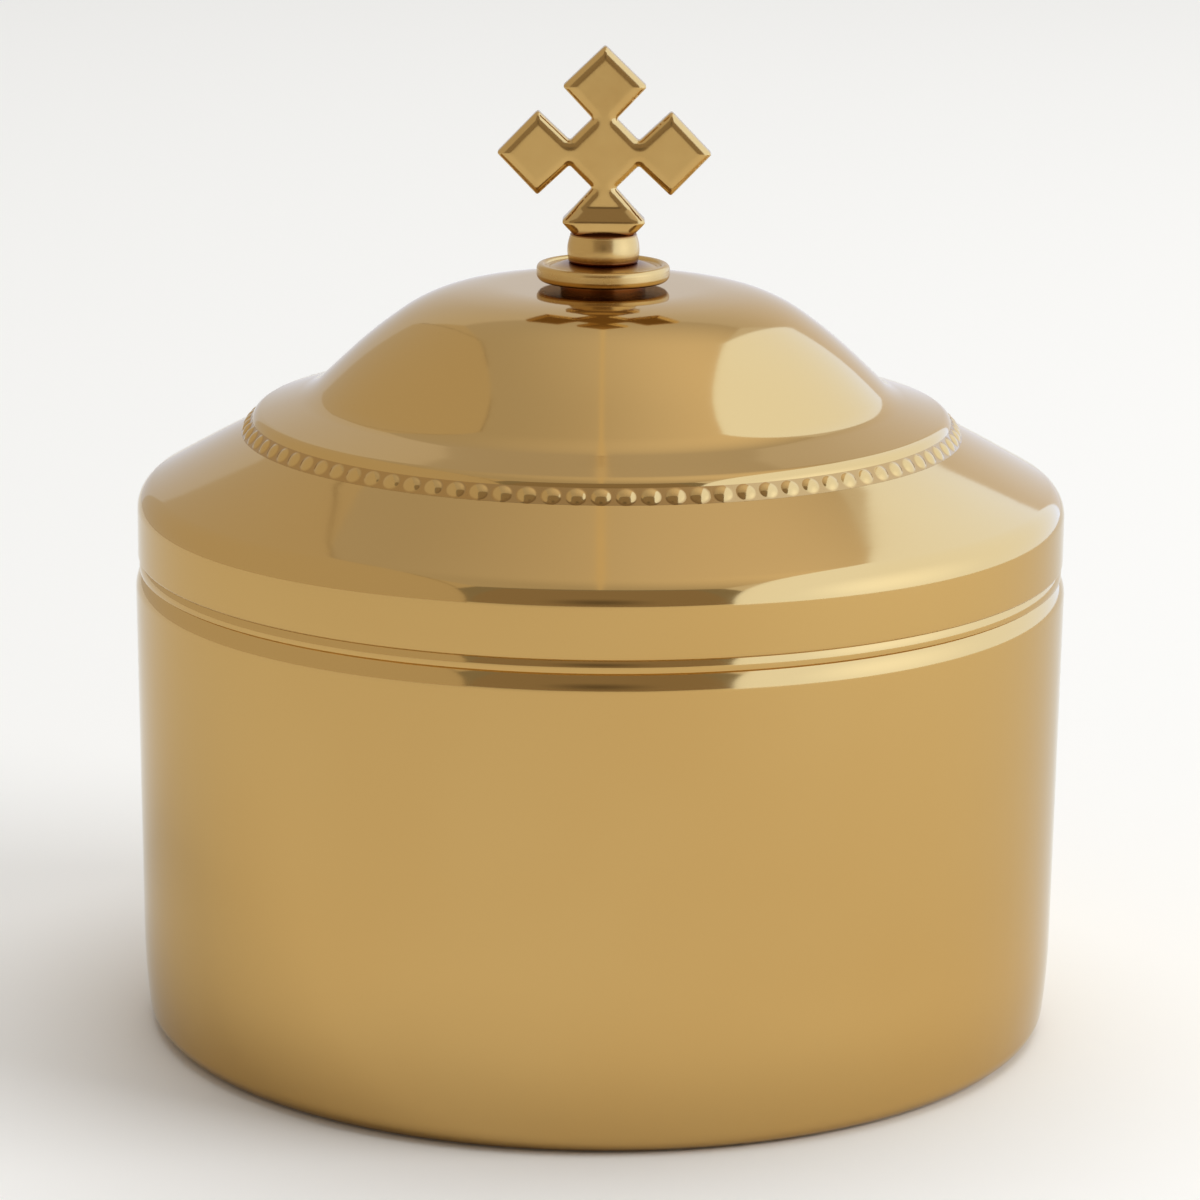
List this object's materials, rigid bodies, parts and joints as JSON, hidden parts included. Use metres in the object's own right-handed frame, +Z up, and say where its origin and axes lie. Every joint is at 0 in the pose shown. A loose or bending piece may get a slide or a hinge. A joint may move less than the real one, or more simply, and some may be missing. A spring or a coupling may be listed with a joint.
{
  "type": "pyx",
  "caption": "Round polished metal pyx with a domed lift-off lid, a row of beads round the lid and a small cross on top, for keeping altar breads.",
  "frame": {"origin": "centre of the cup's foot, on the plane it stands on", "axes": "+Z up the axis of the box, towards the cross; the cross faces -Y and its arms run along X"},
  "size_m": [0.095, 0.095, 0.1005],
  "materials": {
    "gold_plate": "gold plate, mirror polished",
    "plain_brass": "plain turned brass"
  },
  "bodies": {
    "cup": {"body_cup": "gold_plate", "mouth_ring": "gold_plate"},
    "lid": {"lid_shell": "gold_plate", "beaded_ring": "gold_plate", "finial_flange": "gold_plate", "finial_ferrule": "gold_plate", "finial_cross": "gold_plate", "finial_stud": "plain_brass", "finial_washer": "plain_brass", "finial_nut": "plain_brass"}
  },
  "joints": [
    {"name": "lid_lift", "type": "slide", "parent": "cup", "child": "lid", "axis": [0, 0, 1], "range_m": [0, 0.08]}
  ]
}
